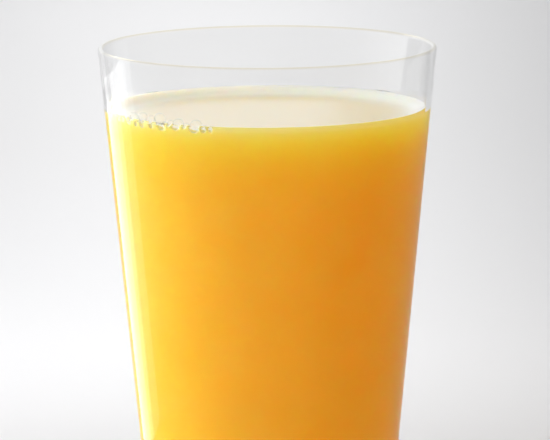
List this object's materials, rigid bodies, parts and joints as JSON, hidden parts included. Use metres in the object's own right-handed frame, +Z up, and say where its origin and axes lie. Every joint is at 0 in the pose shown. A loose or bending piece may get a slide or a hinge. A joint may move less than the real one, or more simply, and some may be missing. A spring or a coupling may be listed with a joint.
{
  "type": "glass of orange juice",
  "caption": "Tall clear glass tumbler with a straight tapering wall and rounded lip, filled nearly to the top with opaque orange juice, with small bubbles at the wall.",
  "frame": {"origin": "centre of the flat foot, on the surface the glass stands on", "axes": "+Z up along the glass's axis; -Y is the front, where the bubbles lie to the left"},
  "size_m": [0.0878, 0.0878, 0.149],
  "materials": {
    "clear_glass": "clear, smooth and colourless, polished all over",
    "orange_juice": "opaque cloudy orange juice with a wet, glossy surface and clear bubbles"
  },
  "bodies": {
    "root": {"glass": "clear_glass", "juice": "orange_juice"}
  },
  "joints": []
}
